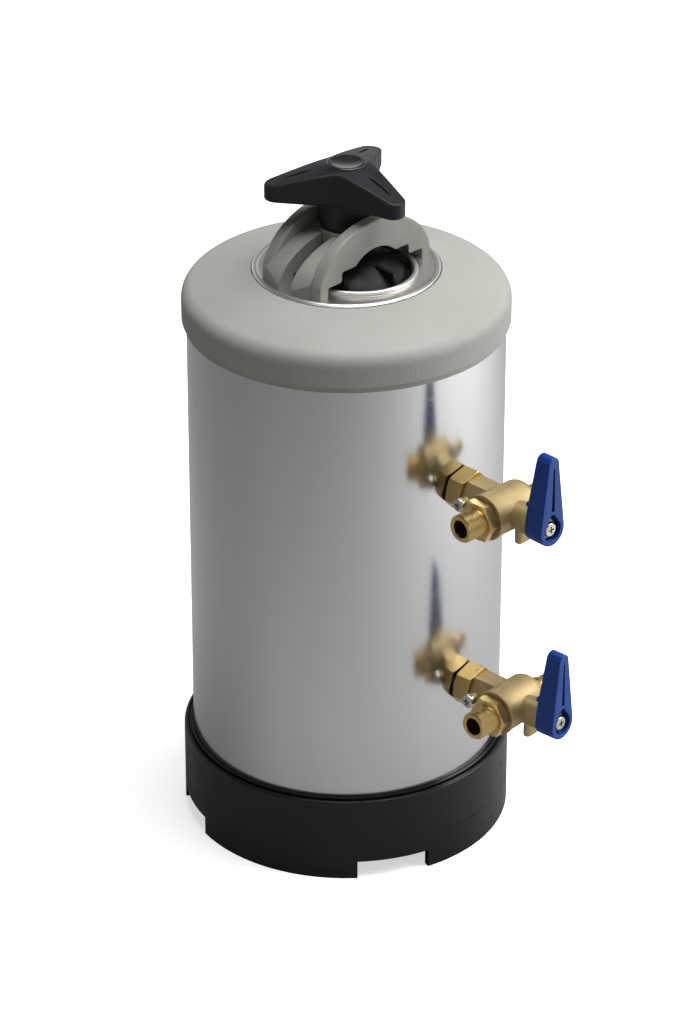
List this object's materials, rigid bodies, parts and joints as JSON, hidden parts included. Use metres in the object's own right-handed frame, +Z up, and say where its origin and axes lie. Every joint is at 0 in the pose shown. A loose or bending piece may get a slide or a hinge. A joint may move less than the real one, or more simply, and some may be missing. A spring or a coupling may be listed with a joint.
{
  "type": "water softener",
  "caption": "Manual water softener: a steel resin tank on a black base, with brass valves on its side and a bridge and star knob that clamp the lid.",
  "frame": {"origin": "middle of the base ring's underside, on the tank's centre line", "axes": "+Z up the tank, +X towards the valves, and the valves' outlets face -Y"},
  "size_m": [0.2637, 0.196, 0.4208],
  "materials": {
    "polished_steel": "polished",
    "grey_plastic": "fine grained",
    "grey_bridge_plastic": "satin",
    "black_base_plastic": "satin",
    "black_lid_plastic": "satin",
    "black_knob_plastic": "satin",
    "black_cap_plastic": "satin",
    "black_rubber": "matt",
    "steel_stud": "machined",
    "white_washer_plastic": "smooth",
    "insert_brass": "machined",
    "resin_beads": "beaded",
    "strainer_plastic": "smooth",
    "socket_steel": "machined",
    "fibre_washer": "matt",
    "machined_brass": "machined",
    "cast_brass": "sand cast",
    "stem_brass": "machined",
    "chromed_ball": "polished",
    "blue_plastic": "satin",
    "steel_screw": "machined",
    "seat_plastic": "smooth"
  },
  "bodies": {
    "softener": {"tank_shell": "polished_steel", "top_head": "polished_steel", "top_collar": "grey_plastic", "base_skirt": "black_base_plastic", "bridge": "grey_bridge_plastic", "thrust_washer": "white_washer_plastic", "resin_bed": "resin_beads", "lower_strainer": "strainer_plastic", "lower_tank_socket": "socket_steel", "lower_port_gasket": "fibre_washer", "lower_locknut": "machined_brass", "lower_valve_body": "cast_brass", "lower_stem_gland": "stem_brass", "lower_outlet_nipple": "machined_brass", "lower_outlet_gasket": "machined_brass", "lower_drain_spout": "machined_brass", "lower_bleed_screw": "steel_screw", "lower_bleed_seal": "black_rubber", "lower_outlet_seat": "seat_plastic", "lower_drain_seat": "seat_plastic", "upper_strainer": "strainer_plastic", "upper_tank_socket": "socket_steel", "upper_port_gasket": "fibre_washer", "upper_locknut": "machined_brass", "upper_valve_body": "cast_brass", "upper_stem_gland": "stem_brass", "upper_outlet_nipple": "machined_brass", "upper_outlet_gasket": "machined_brass", "upper_drain_spout": "machined_brass", "upper_bleed_screw": "steel_screw", "upper_bleed_seal": "black_rubber", "upper_outlet_seat": "seat_plastic", "upper_drain_seat": "seat_plastic"},
    "lid_assembly": {"lid": "black_lid_plastic", "lid_gasket": "black_rubber", "lid_stud": "steel_stud", "stud_seal": "black_rubber"},
    "hand_knob": {"knob": "black_knob_plastic", "knob_insert": "insert_brass", "knob_cap": "black_cap_plastic"},
    "upper_valve_lever": {"upper_lever": "blue_plastic", "upper_lever_washer": "steel_screw", "upper_lever_screw": "steel_screw", "upper_stem": "stem_brass", "upper_stem_seal": "black_rubber", "upper_ball": "chromed_ball"},
    "lower_valve_lever": {"lower_lever": "blue_plastic", "lower_lever_washer": "steel_screw", "lower_lever_screw": "steel_screw", "lower_stem": "stem_brass", "lower_stem_seal": "black_rubber", "lower_ball": "chromed_ball"}
  },
  "joints": [
    {"name": "lid_drop", "type": "slide", "parent": "softener", "child": "lid_assembly", "axis": [0, 0, -1], "range_m": [0, 0.00875]},
    {"name": "knob_turn", "type": "hinge", "parent": "softener", "child": "hand_knob", "pos_m": [0, 0, 0.4], "axis": [0, 0, 1], "range_deg": [0, 1800.5]},
    {"name": "upper_lever_turn", "type": "hinge", "parent": "softener", "child": "upper_valve_lever", "pos_m": [0.15349, -0.00134, 0.247], "axis": [1, -0.0087, 0], "range_deg": [-90, 90]},
    {"name": "lower_lever_turn", "type": "hinge", "parent": "softener", "child": "lower_valve_lever", "pos_m": [0.15309, 0.01124, 0.1135], "axis": [0.9973, 0.0732, 0], "range_deg": [-90, 90]}
  ],
  "couplings": [
    {"joint": "knob_turn", "follows": "lid_drop", "rad_per_m": 3590.4}
  ]
}
